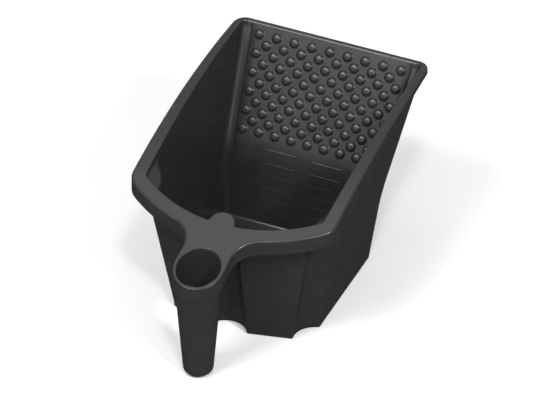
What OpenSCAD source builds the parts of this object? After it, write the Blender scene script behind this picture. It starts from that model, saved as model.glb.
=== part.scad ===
// Hand-held paint roller tray: a deep drafted well with a studded roll-off ramp,
// a wide rim with a turned-down skirt, and a hollow handle hanging from the front.
// The tray is one plastic moulding. Each node is one region of it, and the regions
// meet face to face. Up is +Z and the handle is at the front, towards -Y.
// All lengths are in millimetres. Plan positions are first given from the rim's
// front corners, and in_frame() then puts the origin under the middle of the tray.

/* [Well] */
// Width inside the rim at its front corners
rim_inner_w = 152; // [110:1:200]
// Height of the rim at its front corners
rim_front_h = 123; // [100:1:150]
// Height of the rim at the back
rim_back_h = 150; // [128:1:180]
// Slope of the side rims where they leave the front corners, degrees
rim_slope = 16.2; // [8:0.1:20]
// Length inside the rim, from the front corners to the back edge
well_len = 195; // [160:1:240]
// How far the front of the rim bows forward of its corners
front_bow = 24; // [12:1:30]
// Draft of the side walls, degrees
side_draft = 6; // [2:0.5:8]
// Wall thickness
wall = 2.2; // [1.6:0.1:3.2]
// Floor thickness
floor_t = 2.4; // [1.6:0.1:4]

/* [Front wall] */
// Half width of the finger recess at the floor
recess_half_w = 15.7; // [10:0.1:20]
// Depth of the finger recess
recess_depth = 9.9; // [5:0.1:14]
// How far the inner edge of each lobe stands forward of the corners, at the floor
lobe_reach = 8.2; // [2:0.1:12]
// Half width across the outer edges of the lobes, at the floor
lobe_half_w = 51.5; // [40:0.1:56]
// How far the outer edge of each lobe stands behind the corners, at the floor
lobe_setback = 0.3; // [0:0.1:6]
// Length of the corner flute behind the lobe
flute_len = 22; // [12:0.5:30]
// Hollow of the corner flute
flute_hollow = 5.5; // [2:0.1:7]

/* [Back wall] */
// Distance of the foot of the back wall from the rim's front corners
foot_y = 126.9; // [100:0.1:150]
// Lean of the lower back wall, degrees
steep_angle = 7.85; // [2:0.05:12]
// Height of the bend between the lower back wall and the ramp
bend_h = 63.2; // [45:0.1:80]
// Radius of the bend
bend_r = 60; // [20:1:80]
// Width of the gutter between the raised ramp and the side wall
gutter_w = 8.2; // [6.5:0.1:12]
// Height of the ramp above its gutters
gutter_step = 1.2; // [0.6:0.1:1.5]
// Radius of the fillet between the gutter and the side wall
corner_r = 5; // [2:0.5:6]

/* [Ramp studs] */
// Rows of studs
stud_rows = 11; // [5:2:13]
// Studs in each odd row
stud_cols = 9; // [5:1:9]
// Distance between neighbouring studs in the top row
stud_pitch = 15.6; // [10:0.1:16]
// Distance between rows, down the ramp
row_pitch = 7.75; // [6:0.05:8]
// Distance of the top row from the top of the ramp
first_row = 9.2; // [5:0.1:10]
// How much the field of studs narrows for each millimetre down the ramp
stud_taper = 0.001; // [0:0.0001:0.0015]
// Diameter of a stud at its foot
stud_d = 8.3; // [5:0.1:9.5]
// Height of a stud
stud_h = 2.2; // [1:0.1:3.5]

/* [Measuring scale] */
// Lines in each scale
scale_lines = 6; // [3:1:6]
// Height of the lowest millilitre line
ml_first_h = 13.8; // [8:0.1:20]
// Spacing of the millilitre lines
ml_step = 10.9; // [6:0.1:11]
// Height of the lowest ounce line
oz_first_h = 19; // [8:0.1:24]
// Spacing of the ounce lines
oz_step = 9.7; // [6:0.1:10]
// Length of a scale line
line_len = 26; // [15:0.5:28]
// Gap between a scale line and the centre of the tray
line_gap = 7.2; // [4:0.1:10]
// Width and height of a scale line's ridge
line_ridge = 0.8; // [0.4:0.1:1.2]

/* [Rim] */
// Width of the rim band at the front
band_front = 11.6; // [8:0.1:14]
// Width of the rim band at the back ends of the sides
band_side_back = 6.4; // [5:0.1:10]
// Width of the rim band along the back
band_back = 4.2; // [3:0.1:8]
// Thickness of the rim band
rim_t = 2.4; // [1.6:0.1:3]
// Depth of the skirt round the front, below the rim's top
skirt_h = 12.8; // [8:0.1:16]
// Depth of the skirt at the back, below the rim's top
skirt_back_h = 4.6; // [4:0.1:12]
// Inside radius of the rim's corners
rim_corner_r = 3; // [2:0.5:6]
// Radius of the thumb tab inside the well
tab_r = 10.7; // [6:0.1:13]

/* [Handle] */
// Distance of the handle's axis in front of the rim's front corners
handle_reach = 65.5; // [55:0.5:80]
// Slope of the plate that carries the handle, degrees
plate_slope = 18.5; // [12:0.5:20]
// Outside radius of the collar, and half width of the neck behind it
collar_r = 20.5; // [19.5:0.1:24]
// Radius of the fillets between the neck and the front rim
neck_fillet = 22; // [12:1:26]
// Distance of the tube's axis in front of the collar's axis
tube_offset = 1.4; // [0:0.1:1.6]
// Outside radius of the tube at its lower end
tube_end_r = 11.9; // [9:0.1:13]
// Taper of the tube's radius for each millimetre of height
tube_taper = 0.079; // [0.03:0.001:0.08]
// Height of the tube's lower end above the surface that the tray stands on
tube_lift = 1.5; // [0.5:0.1:30]
// Rounding of the tube's lower edge
tube_round = 4; // [1:0.5:6]

/* [Hidden] */
$fn = 64;
plastic = "#3b3d40";
plastic_light = "#46484c";
// A length longer than the tray, for cutting planes
far = 400;

// Draft of the walls, as sideways travel for each millimetre of height
side_lean = tan(side_draft);
// Travel of the lobe edges for each millimetre of height: [x, y]
lobe_inner_lean = [-0.03, -0.13];
lobe_outer_lean = [0.16, -0.105];

// Rim height over the plan: a plane in front of the corners and an arch behind them
rim_curve = (rim_back_h - rim_front_h - tan(rim_slope) * well_len) / (well_len * well_len);
function rim_z(y) = y < 0 ? rim_front_h + tan(plate_slope) * y
    : rim_front_h + tan(rim_slope) * y + rim_curve * y * y;

// Half widths of the well over the side walls' outer and inner faces
function half_out(z) = rim_inner_w / 2 + wall + side_lean * (z - rim_front_h);
function half_in(z) = half_out(z) - wall;

// Plan arc of the front rim's inner edge
bow_r = (pow(rim_inner_w / 2, 2) + pow(front_bow, 2)) / (2 * front_bow);
bow_y = bow_r - front_bow;
function bow_point(a, r) = [r * sin(a), bow_y - r * cos(a)];

// ---- Solids made from rows of points ----

// A closed solid between two grids of points with the same rows and columns
module slab(top, under) {
    rows = len(top);
    cols = len(top[0]);
    count = rows * cols;
    function at(r, c) = r * cols + c;
    function quad(a, b, c, d) = [[a, b, c], [a, c, d]];
    skin = [for (r = [0 : rows - 2]) for (c = [0 : cols - 2])
        each quad(at(r, c), at(r + 1, c), at(r + 1, c + 1), at(r, c + 1))];
    back = [for (f = skin) [f[2] + count, f[1] + count, f[0] + count]];
    ends = [for (c = [0 : cols - 2]) each concat(
        quad(at(0, c), at(0, c + 1), at(0, c + 1) + count, at(0, c) + count),
        quad(at(rows - 1, c + 1), at(rows - 1, c), at(rows - 1, c) + count,
            at(rows - 1, c + 1) + count))];
    sides = [for (r = [0 : rows - 2]) each concat(
        quad(at(r + 1, 0), at(r, 0), at(r, 0) + count, at(r + 1, 0) + count),
        quad(at(r, cols - 1), at(r + 1, cols - 1), at(r + 1, cols - 1) + count,
            at(r, cols - 1) + count))];
    polyhedron(points = concat([for (row = top) each row], [for (row = under) each row]),
        faces = concat(skin, back, ends, sides), convexity = 6);
}

// A closed solid between two outlines with the same number of points
module loft(low, high) {
    n = len(low);
    walls = [for (i = [0 : n - 1]) each [[i, (i + 1) % n, (i + 1) % n + n],
        [i, (i + 1) % n + n, i + n]]];
    polyhedron(points = concat(low, high), convexity = 8,
        faces = concat([[for (i = [0 : n - 1]) i]], [[for (i = [n - 1 : -1 : 0]) i + n]],
            [for (f = walls) [f[2], f[1], f[0]]]));
}

module in_frame() {
    translate([0, -(well_len + band_back - handle_reach - collar_r) / 2, 0])
        children();
}

module mirrored() {
    mirror([1, 0, 0])
        children();
}

// ---- Front wall ----

// A circular arc from p to q that bulges to the left of the way from p to q
function arc_between(p, q, bulge, n) =
    let (d = q - p, half = norm(d) / 2, r = (half * half + bulge * bulge) / (2 * bulge),
        side = [-d[1], d[0]] / norm(d), c = (p + q) / 2 + side * (bulge - r),
        a0 = atan2(p[1] - c[1], p[0] - c[0]), sweep = 2 * asin(half / r))
    [for (i = [0 : n]) c + r * [cos(a0 - sweep * i / n), sin(a0 - sweep * i / n)]];

recess_steps = 4;
lobe_steps = 3;
flute_steps = 6;
lobe_end = recess_steps + lobe_steps;
half_steps = lobe_end + flute_steps;

// Outer plan line of the right half of the front wall at height z
function front_half(z) =
    let (inner = [recess_half_w, -lobe_reach] + lobe_inner_lean * z,
        outer = [lobe_half_w, lobe_setback] + lobe_outer_lean * z,
        corner = [half_out(z), lobe_setback + flute_len],
        rr = (inner[0] * inner[0] + recess_depth * recess_depth) / (2 * recess_depth),
        span = asin(inner[0] / rr))
    concat(
        [for (i = [0 : recess_steps - 1]) let (a = span * i / recess_steps)
            [rr * sin(a), inner[1] + recess_depth - rr + rr * cos(a)]],
        [for (i = [0 : lobe_steps - 1]) inner + (outer - inner) * i / lobe_steps],
        arc_between(outer, corner, flute_hollow, flute_steps));

// Outer plan line of the same stations where the wall meets the rim
corner_y = lobe_setback + flute_len;
shoulder_mid = rim_front_h - 2 * skirt_h;
top_recess_x = recess_half_w + lobe_inner_lean[0] * shoulder_mid;
top_lobe_x = lobe_half_w + lobe_outer_lean[0] * shoulder_mid;
function rim_line(r) =
    let (reach = rim_inner_w / 2 + (r - bow_r), edge = asin(reach / r),
        inner = asin(top_recess_x / r), outer = asin(top_lobe_x / r))
    concat(
        [for (i = [0 : recess_steps - 1]) bow_point(inner * i / recess_steps, r)],
        [for (i = [0 : lobe_steps]) bow_point(inner + (outer - inner) * i / lobe_steps, r)],
        [for (i = [1 : 2]) bow_point(outer + (edge - outer) * i / 2, r)],
        [for (i = [1 : flute_steps - 2]) let (y = corner_y * i / (flute_steps - 2))
            [half_in(rim_z(y) - rim_t) + (r - bow_r), y]]);

// The line moved inwards by the wall, with its end kept square to the side wall
function inwards(path) = [for (i = [0 : len(path) - 1])
    i == len(path) - 1 ? path[i] - [wall, 0]
    : let (ahead = path[i + 1], back = i == 0 ? [-ahead[0], ahead[1]] : path[i - 1],
        d = (ahead - back) / norm(ahead - back)) path[i] + wall * [-d[1], d[0]]];

function with_z(path, zs) = [for (i = [0 : len(path) - 1]) [path[i][0], path[i][1], zs[i]]];

// The four rows of the front wall: foot, floor, shoulder under the skirt, rim
shoulder_z = [for (p = rim_line(bow_r + wall)) rim_z(p[1]) - skirt_h];
shoulder_path = [for (i = [0 : half_steps]) front_half(shoulder_z[i])[i]];
rim_wall_z = [for (p = rim_line(bow_r + wall)) rim_z(p[1]) - rim_t];
rim_in_z = [for (p = rim_line(bow_r)) rim_z(p[1]) - rim_t];
flat_low = [for (i = [0 : half_steps]) 0];
flat_floor = [for (i = [0 : half_steps]) floor_t];
front_outer = [with_z(front_half(0), flat_low), with_z(front_half(floor_t), flat_floor),
    with_z(shoulder_path, shoulder_z), with_z(rim_line(bow_r + wall), rim_wall_z)];
front_inner = [with_z(inwards(front_half(0)), flat_low),
    with_z(inwards(front_half(floor_t)), flat_floor),
    with_z(inwards(shoulder_path), shoulder_z), with_z(rim_line(bow_r), rim_in_z)];

function cut(rows, a, b) = [for (row = rows) [for (i = [a : b]) row[i]]];
function flip(p) = [-p[0], p[1], p[2]];

module front_panel(a, b) {
    slab(cut(front_inner, a, b), cut(front_outer, a, b));
}

function both_halves(h) = concat([for (i = [len(h) - 1 : -1 : 1]) flip(h[i])], h);

module finger_recess_wall() {
    color(plastic) in_frame()
        slab([for (row = cut(front_inner, 0, recess_steps)) both_halves(row)],
            [for (row = cut(front_outer, 0, recess_steps)) both_halves(row)]);
}

module front_lobe_right() {
    color(plastic) in_frame()
        front_panel(recess_steps, lobe_end);
}

module front_lobe_left() {
    color(plastic) in_frame() mirrored()
        front_panel(recess_steps, lobe_end);
}

module corner_flute_right() {
    color(plastic) in_frame()
        front_panel(lobe_end, half_steps);
}

module corner_flute_left() {
    color(plastic) in_frame() mirrored()
        front_panel(lobe_end, half_steps);
}

// ---- Back wall ----

top_z = rim_back_h - rim_t;
bend_y = foot_y + bend_h * tan(steep_angle);
ramp_angle = atan((well_len - bend_y) / (rim_back_h - bend_h));
bend_tangent = bend_r * tan((ramp_angle - steep_angle) / 2);
bend_steps = 8;
function lean_dir(a) = [sin(a), cos(a)];
function lean_normal(a) = [-cos(a), sin(a)];
bend_start = [bend_y, bend_h] - bend_tangent * lean_dir(steep_angle);
bend_centre = bend_start - bend_r * lean_normal(steep_angle);

// Stations up the inner face of the back wall: [point, lean, way out of the face, step]
function square_cut(a) = [-1 / cos(a), 0];
back_stations = concat(
    [for (z = [0, floor_t]) [[foot_y + z * tan(steep_angle), z], square_cut(steep_angle), 0]],
    [for (i = [0 : bend_steps])
        let (a = steep_angle + (ramp_angle - steep_angle) * i / bend_steps)
        [bend_centre + bend_r * lean_normal(a), lean_normal(a), gutter_step * i / bend_steps]],
    [[[well_len - rim_t * tan(ramp_angle), top_z], square_cut(ramp_angle), gutter_step]]);
bend_middle = 2 + bend_steps / 2;
last_station = len(back_stations) - 1;

// A point at station s, u inwards of the side wall and h out of the face
function back_point(s, u, h) =
    let (yz = s[0] + s[1] * h) [half_in(yz[1]) - u, yz[0], yz[1]];

// Cross-section of the gutter's upper face: [distance from the wall, height]
fillet_steps = 5;
gutter_section = concat([[gutter_w, 0]],
    [for (i = [0 : fillet_steps]) let (a = 90 * i / fillet_steps)
        [corner_r - corner_r * sin(a), corner_r - corner_r * cos(a)]]);

module back_panel(a, b) {
    part = [for (i = [a : b]) back_stations[i]];
    slab([for (s = part) [flip(back_point(s, gutter_w, 0)), back_point(s, gutter_w, 0)]],
        [for (s = part) [flip(back_point(s, gutter_w, -wall)), back_point(s, gutter_w, -wall)]]);
}

module lower_back_wall() {
    color(plastic) in_frame()
        back_panel(0, bend_middle);
}

module roll_off_ramp() {
    color(plastic_light) in_frame()
        back_panel(bend_middle, last_station);
}

module gutter() {
    slab([for (s = back_stations) [for (g = gutter_section) back_point(s, g[0], g[1] - s[2])]],
        [for (s = back_stations) [for (g = gutter_section) back_point(s, g[0], -wall - s[2])]]);
}

module ramp_gutter_right() {
    color(plastic_light) in_frame()
        gutter();
}

module ramp_gutter_left() {
    color(plastic_light) in_frame() mirrored()
        gutter();
}

// ---- Side walls and floor ----

side_steps = 10;
// Back end of a side wall at one station of the back wall, as [y, z]
function side_end(station) = station[0] - station[1] * (wall + station[2]);
// Rows of [y, z] up a side wall, each from the front edge to the back wall
side_rows = [for (station = back_stations)
    [for (i = [0 : side_steps])
        let (end = side_end(station), last = side_end(back_stations[last_station]),
            top_y = corner_y + (last[0] - corner_y) * i / side_steps,
            top = i == side_steps ? top_z : rim_z(top_y) - rim_t)
        [corner_y + (end[0] - corner_y) * i / side_steps, top * end[1] / top_z]]];

module side_wall() {
    slab([for (row = side_rows) [for (p = row) [half_in(p[1]), p[0], p[1]]]],
        [for (row = side_rows) [for (p = row) [half_out(p[1]), p[0], p[1]]]]);
}

module side_wall_right() {
    color(plastic) in_frame()
        side_wall();
}

module side_wall_left() {
    color(plastic) in_frame() mirrored()
        side_wall();
}

// Half of the floor's back edge at row r, with as many points as its front edge
floor_gap = half_steps - fillet_steps - 1;
function floor_back(r) = let (s = back_stations[r], end = back_point(s, gutter_w, 0))
    concat([for (i = [0 : floor_gap - 1]) [end[0] * i / floor_gap, end[1], end[2]]],
        [for (g = gutter_section) back_point(s, g[0], g[1])]);

module floor_pan() {
    color(plastic) in_frame()
        slab([both_halves(front_inner[1]), both_halves(floor_back(1))],
            [both_halves(front_inner[0]), both_halves(floor_back(0))]);
}

// ---- Studs and scale lines ----

// Origin on the ramp, down the slope from its upper edge, with +Z out of the face
module on_ramp(x, down) {
    translate([x, well_len - down * sin(ramp_angle), rim_back_h - down * cos(ramp_angle)])
        rotate([90 - ramp_angle, 0, 0])
            children();
}

stud_sphere_r = (pow(stud_d / 2, 2) + pow(stud_h, 2)) / (2 * stud_h);

module stud() {
    intersection() {
        translate([0, 0, stud_h - stud_sphere_r])
            sphere(r = stud_sphere_r, $fn = 40);
        translate([-stud_d, -stud_d, 0])
            cube([2 * stud_d, 2 * stud_d, 2 * stud_h]);
    }
}

module ramp_studs() {
    color(plastic_light) in_frame()
        for (row = [0 : stud_rows - 1]) {
            down = first_row + row * row_pitch;
            count = stud_cols - row % 2;
            pitch = stud_pitch * (1 - stud_taper * (down - first_row));
            for (i = [0 : count - 1])
                on_ramp((i - (count - 1) / 2) * pitch, down)
                    stud();
        }
}

// Point and lean of the back wall's face at height z
function face_lean(z) = z <= bend_start[1] ? steep_angle
    : z >= bend_centre[1] + bend_r * sin(ramp_angle) ? ramp_angle
    : asin((z - bend_centre[1]) / bend_r);
function face_y(z) = z <= bend_start[1] ? foot_y + z * tan(steep_angle)
    : z >= bend_centre[1] + bend_r * sin(ramp_angle) ?
        well_len - (rim_back_h - z) * tan(ramp_angle)
    : bend_centre[0] - bend_r * cos(face_lean(z));

module scale_line(z, x) {
    translate([x, face_y(z), z])
        rotate([-face_lean(z), 0, 0])
            translate([0, -line_ridge / 2, -line_ridge / 2])
                cube([line_len, line_ridge / 2, line_ridge]);
}

module millilitre_lines() {
    color(plastic_light) in_frame()
        for (i = [0 : scale_lines - 1])
            scale_line(ml_first_h + i * ml_step, -line_gap - line_len);
}

module ounce_lines() {
    color(plastic_light) in_frame()
        for (i = [0 : scale_lines - 1])
            scale_line(oz_first_h + i * oz_step, line_gap);
}

// ---- Rim and skirt ----

band_r = bow_r + band_front;
// Centre of the fillet between the neck and the front rim
fillet_x = collar_r + neck_fillet;
fillet_y = bow_y - sqrt(pow(band_r + neck_fillet, 2) - pow(fillet_x, 2));
neck_angle = atan2(fillet_x, bow_y - fillet_y);
// Centre of the rim's front corner
corner_cx = rim_inner_w / 2 - rim_corner_r;
corner_cy = bow_y - sqrt(pow(bow_r - rim_corner_r, 2) - pow(corner_cx, 2));
corner_angle = atan2(corner_cx, bow_y - corner_cy);
arc_steps = 4;
turn_steps = 6;
rail_steps = 12;
back_turn_y = well_len - rim_corner_r;

// Stations of the rim: [inner point, way outwards, width of the band]
rim_arc = [for (i = [0 : arc_steps])
    let (a = neck_angle + (corner_angle - neck_angle) * i / arc_steps)
    [bow_point(a, bow_r), [sin(a), -cos(a)], band_front]];
rim_turn = [for (i = [1 : turn_steps - 1])
    let (a = corner_angle + (90 - corner_angle) * i / turn_steps)
    [[corner_cx, corner_cy] + rim_corner_r * [sin(a), -cos(a)], [sin(a), -cos(a)], band_front]];
rim_rail = [for (i = [0 : rail_steps])
    let (t = i / rail_steps, y = corner_cy + (back_turn_y - corner_cy) * t)
    [[half_in(rim_z(y)), y], [1, 0], band_front + (band_side_back - band_front) * t]];
rim_back_turn = [for (i = [1 : turn_steps])
    let (t = i / turn_steps, a = 90 * t)
    [[half_in(rim_z(back_turn_y)) - rim_corner_r, back_turn_y] + rim_corner_r * [cos(a), sin(a)],
        [cos(a), sin(a)], band_side_back + (band_back - band_side_back) * t]];
rim_front_stations = concat(rim_arc, rim_turn, [rim_rail[0]]);
rim_back_stations = concat([rim_rail[rail_steps]], rim_back_turn);

function lower(p, drop) = [p[0], p[1], rim_z(p[1]) - drop];
function out_by(s, d) = s[0] + s[1] * d;
// The band's inner edge under its top, which follows the draft of the wall below it
function rim_foot(s) = s[0] - s[1] * rim_t * (s[1][1] > 0.99 ? tan(ramp_angle)
    : s[1][0] > 0.99 ? side_lean : 0);

module band(stations) {
    slab([for (s = stations) [lower(s[0], 0), lower(out_by(s, s[2]), 0)]],
        [for (s = stations) [lower(rim_foot(s), rim_t), lower(out_by(s, s[2]), rim_t)]]);
}

// Depth of the skirt over the plan: full round the front, and less and less along the sides
function skirt_drop(y) = skirt_h - (skirt_h - skirt_back_h)
    * min(1, max(0, (y - corner_y) / (back_turn_y - corner_y)));

module skirt(path) {
    slab([for (p = path) [lower(p[0], rim_t), lower(p[1], rim_t)]],
        [for (p = path) [lower(p[0], skirt_drop(p[0][1])), lower(p[1], skirt_drop(p[1][1]))]]);
}

function skirt_path(stations) = [for (s = stations) [out_by(s, s[2] - wall), out_by(s, s[2])]];

module rim_front_right() {
    color(plastic_light) in_frame()
        band(rim_front_stations);
}

module rim_front_left() {
    color(plastic_light) in_frame() mirrored()
        band(rim_front_stations);
}

module rim_side_right() {
    color(plastic_light) in_frame()
        band(rim_rail);
}

module rim_side_left() {
    color(plastic_light) in_frame() mirrored()
        band(rim_rail);
}

module skirt_front_right() {
    color(plastic) in_frame()
        skirt(skirt_path(rim_front_stations));
}

module skirt_front_left() {
    color(plastic) in_frame() mirrored()
        skirt(skirt_path(rim_front_stations));
}

module skirt_side_right() {
    color(plastic) in_frame()
        skirt(skirt_path(rim_rail));
}

module skirt_side_left() {
    color(plastic) in_frame() mirrored()
        skirt(skirt_path(rim_rail));
}

// The back stations of both sides as one run, from right to left
function flip_station(s) = [[-s[0][0], s[0][1]], [-s[1][0], s[1][1]], s[2]];
whole_back = concat(rim_back_stations,
    [for (i = [len(rim_back_stations) - 1 : -1 : 0]) flip_station(rim_back_stations[i])]);

module rim_back() {
    color(plastic_light) in_frame()
        band(whole_back);
}

module skirt_back() {
    color(plastic) in_frame()
        skirt(skirt_path(whole_back));
}

// ---- Handle ----

handle_y = -handle_reach;
tube_y = handle_y - tube_offset;
neck_steps = 8;
// Right side of the neck, from the front rim round the fillet to the collar
neck_line = concat([for (i = [0 : neck_steps])
    let (a = neck_angle + (90 - neck_angle) * i / neck_steps)
    [fillet_x - neck_fillet * sin(a), fillet_y + neck_fillet * cos(a)]],
    [[collar_r, handle_y]]);
neck_cols = 4 * arc_steps;
inner_arc = [for (i = [0 : neck_cols])
    bow_point(neck_angle * (2 * i / neck_cols - 1), bow_r)];
// Rows of the neck's plan, from the rim's inner edge to the axis of the handle
neck_rows = concat([inner_arc],
    [for (p = neck_line) [for (i = [0 : neck_cols]) [p[0] * (2 * i / neck_cols - 1), p[1]]]]);

module handle_neck() {
    color(plastic_light) in_frame()
        difference() {
            slab([for (row = neck_rows) [for (p = row) lower(p, rim_t)]],
                [for (row = neck_rows) [for (p = row) lower(p, 0)]]);
            translate([0, handle_y, 0])
                cylinder(r = collar_r, h = far);
        }
}

// A plate of the rim's thickness over a plan outline
module plate_over(shape) {
    loft([for (p = shape) lower(p, rim_t)], [for (p = shape) lower(p, 0)]);
}

module neck_skirt() {
    n = len(neck_line);
    inner = [for (i = [0 : n - 1])
        i >= n - 2 ? neck_line[i] - [wall, 0]
        : let (a = neck_angle + (90 - neck_angle) * i / neck_steps)
            neck_line[i] - wall * [sin(a), -cos(a)]];
    difference() {
        skirt([for (i = [n - 1 : -1 : 0]) [inner[i], neck_line[i]]]);
        translate([0, handle_y, 0])
            cylinder(r = collar_r, h = far);
    }
}

module neck_skirt_right() {
    color(plastic) in_frame()
        neck_skirt();
}

module neck_skirt_left() {
    color(plastic) in_frame() mirrored()
        neck_skirt();
}

module thumb_tab() {
    tab_steps = 12;
    reach = asin(tab_r / bow_r);
    round_side = [for (i = [0 : tab_steps]) let (a = 180 * i / tab_steps)
        bow_point(reach * cos(a), bow_r) + [0, tab_r * sin(a)]];
    front_side = [for (i = [1 : 3]) bow_point(reach * (i / 2 - 1), bow_r)];
    color(plastic_light) in_frame()
        plate_over(concat(round_side, front_side));
}

// Everything under the sloping plane that lies drop below the rim plate
module under_plate(drop) {
    translate([0, 0, rim_front_h - drop])
        rotate([plate_slope, 0, 0])
            translate([-far, -far, -far])
                cube([2 * far, 2 * far, far]);
}

function tube_out(z) = tube_end_r + tube_taper * (z - tube_lift);
function tube_in(z) = tube_out(z) - wall;
cap_top = tube_lift + tube_round + wall;

module tube_bore() {
    cylinder(h = rim_front_h, r1 = tube_in(0), r2 = tube_in(rim_front_h));
}

module handle_collar() {
    color(plastic_light) in_frame()
        difference() {
            intersection() {
                translate([0, handle_y, 0])
                    cylinder(r = collar_r, h = rim_front_h);
                under_plate(0);
            }
            under_plate(skirt_h);
            translate([0, tube_y, 0])
                tube_bore();
        }
}

module handle_tube() {
    color(plastic) in_frame()
        difference() {
            intersection() {
                translate([0, tube_y, cap_top])
                    cylinder(h = rim_front_h - cap_top, r1 = tube_out(cap_top),
                        r2 = tube_out(rim_front_h));
                under_plate(skirt_h);
            }
            translate([0, tube_y, 0])
                tube_bore();
        }
}

module handle_end() {
    round_steps = 6;
    inside_r = tube_in(cap_top);
    outside = [for (i = [0 : round_steps]) let (a = 90 * i / round_steps)
        [tube_end_r - tube_round + tube_round * sin(a),
            tube_lift + tube_round - tube_round * cos(a)]];
    color(plastic) in_frame()
        translate([0, tube_y, 0])
            rotate_extrude()
                polygon(concat([[0, tube_lift]], outside,
                    [[tube_out(cap_top), cap_top], [inside_r, cap_top],
                        [inside_r - tube_round / 2, cap_top - tube_round],
                        [0, cap_top - tube_round]]));
}

floor_pan();
finger_recess_wall();
front_lobe_left();
front_lobe_right();
corner_flute_left();
corner_flute_right();
side_wall_left();
side_wall_right();
lower_back_wall();
roll_off_ramp();
ramp_gutter_left();
ramp_gutter_right();
ramp_studs();
millilitre_lines();
ounce_lines();
rim_front_left();
rim_front_right();
rim_side_left();
rim_side_right();
rim_back();
skirt_front_left();
skirt_front_right();
skirt_side_left();
skirt_side_right();
skirt_back();
handle_neck();
neck_skirt_left();
neck_skirt_right();
thumb_tab();
handle_collar();
handle_tube();
handle_end();
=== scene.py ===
# %% [markdown]
# # A paint roller tray, step by step
# The tray is one injection moulding in charcoal plastic: a deep well for the paint, a studded ramp
# to roll the surplus off, a broad rim with a hanging skirt, and a hollow handle at the front.
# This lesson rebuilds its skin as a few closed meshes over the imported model, which stays as the
# frame. Everything is worked out in millimetres and brought to metres at the very end of each step.

# %% Load the frame
import math
import bmesh
import bpy
import numpy as np
from mathutils import Matrix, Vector
from mathutils.geometry import delaunay_2d_cdt


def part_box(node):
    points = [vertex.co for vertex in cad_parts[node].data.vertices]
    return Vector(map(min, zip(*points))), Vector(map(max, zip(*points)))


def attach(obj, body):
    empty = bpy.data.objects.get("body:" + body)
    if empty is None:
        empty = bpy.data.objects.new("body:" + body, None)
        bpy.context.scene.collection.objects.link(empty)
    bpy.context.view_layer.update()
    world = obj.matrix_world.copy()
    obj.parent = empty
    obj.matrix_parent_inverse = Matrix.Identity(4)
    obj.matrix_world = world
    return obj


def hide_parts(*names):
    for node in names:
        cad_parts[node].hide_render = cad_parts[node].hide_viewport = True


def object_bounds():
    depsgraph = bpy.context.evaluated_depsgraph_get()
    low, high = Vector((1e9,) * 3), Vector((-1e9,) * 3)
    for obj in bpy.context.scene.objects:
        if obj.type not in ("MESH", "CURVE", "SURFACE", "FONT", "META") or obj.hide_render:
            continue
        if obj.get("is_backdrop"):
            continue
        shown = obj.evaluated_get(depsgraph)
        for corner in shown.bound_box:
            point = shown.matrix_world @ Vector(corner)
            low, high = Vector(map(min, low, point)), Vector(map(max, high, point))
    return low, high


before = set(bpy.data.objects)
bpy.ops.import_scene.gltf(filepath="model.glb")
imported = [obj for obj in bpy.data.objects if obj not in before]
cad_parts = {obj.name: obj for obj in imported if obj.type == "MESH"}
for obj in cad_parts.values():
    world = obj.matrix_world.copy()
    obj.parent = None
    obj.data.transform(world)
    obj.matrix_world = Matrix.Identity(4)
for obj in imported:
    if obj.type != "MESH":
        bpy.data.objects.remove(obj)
cad_low, cad_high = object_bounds()
print("frame box, mm:", [round(v * 1000, 1) for v in (*cad_low, *cad_high)])

# %% [markdown]
# ## Sizes
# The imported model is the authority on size, so what it can tell is measured from its nodes' boxes.
# The rest are the moulding's own sizes: angles, radii and wall thicknesses. `centre_y` is where the
# front corners of the rim lie in the frame, and every plan curve is drawn from there.

# %% Measure the frame and name the sizes
def node_box(name):
    low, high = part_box(name)
    return [v * 1000 for v in low], [v * 1000 for v in high]


collar_low, collar_high = node_box("handle_collar")
end_low, end_high = node_box("handle_end")
handle_reach = 65.5
centre_y = (collar_low[1] + collar_high[1]) / 2 + handle_reach
tube_reach = centre_y - (end_low[1] + end_high[1]) / 2
well_len = cad_high[1] * 1000 - centre_y - 4.2
rim_back_h = cad_high[2] * 1000 - 0.034
rim_front_h = 123.0
collar_r = (collar_high[0] - collar_low[0]) / 2
floor_t = node_box("floor_pan")[1][2]
skirt_h, skirt_back_h, rim_t, wall = 12.8, 4.6, 2.4, 2.2
inner_half_w = 76.0
plate_rise, rim_rise = math.tan(math.radians(18.5)), math.tan(math.radians(16.2))
side_lean = math.tan(math.radians(6))
steep = math.radians(7.85)
print("front corners at y", round(centre_y, 2), "well", round(well_len, 1), "rim", rim_back_h,
      "collar", round(collar_r, 2), "floor", round(floor_t, 2))

# %% [markdown]
# ## Heights and leans
# Three rules shape the whole tray. The rim climbs from the front corners to the back along a shallow
# arch, and falls along a plane towards the handle. The side walls lean outwards by six degrees.
# The back wall stands steep beside the paint and bends back into the ramp.

# %% Rules for the rim, the side walls and the back wall
rim_arch = (rim_back_h - rim_front_h - rim_rise * well_len) / well_len ** 2


def rim_z(y):
    y = np.asarray(y, float)
    return np.where(y < 0, rim_front_h + plate_rise * y, rim_front_h + rim_rise * y + rim_arch * y * y)


def half_out(z):
    return inner_half_w + wall + side_lean * (np.asarray(z, float) - rim_front_h)


def half_in(z):
    return half_out(z) - wall


# %% The bend of the back wall
foot_y, bend_h, bend_r = 126.9, 63.2, 60.0
bend_y = foot_y + bend_h * math.tan(steep)
ramp = math.atan((well_len - bend_y) / (rim_back_h - bend_h))
tangent = bend_r * math.tan((ramp - steep) / 2)
bend_y0 = bend_y - tangent * math.sin(steep)
bend_z0 = bend_h - tangent * math.cos(steep)
bend_cy = bend_y0 + bend_r * math.cos(steep)
bend_cz = bend_z0 - bend_r * math.sin(steep)
bend_z1 = bend_cz + bend_r * math.sin(ramp)


def face_lean(z):
    a = np.arcsin(np.clip((np.asarray(z, float) - bend_cz) / bend_r, -1, 1))
    return np.where(z <= bend_z0, steep, np.where(z >= bend_z1, ramp, a))


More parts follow.
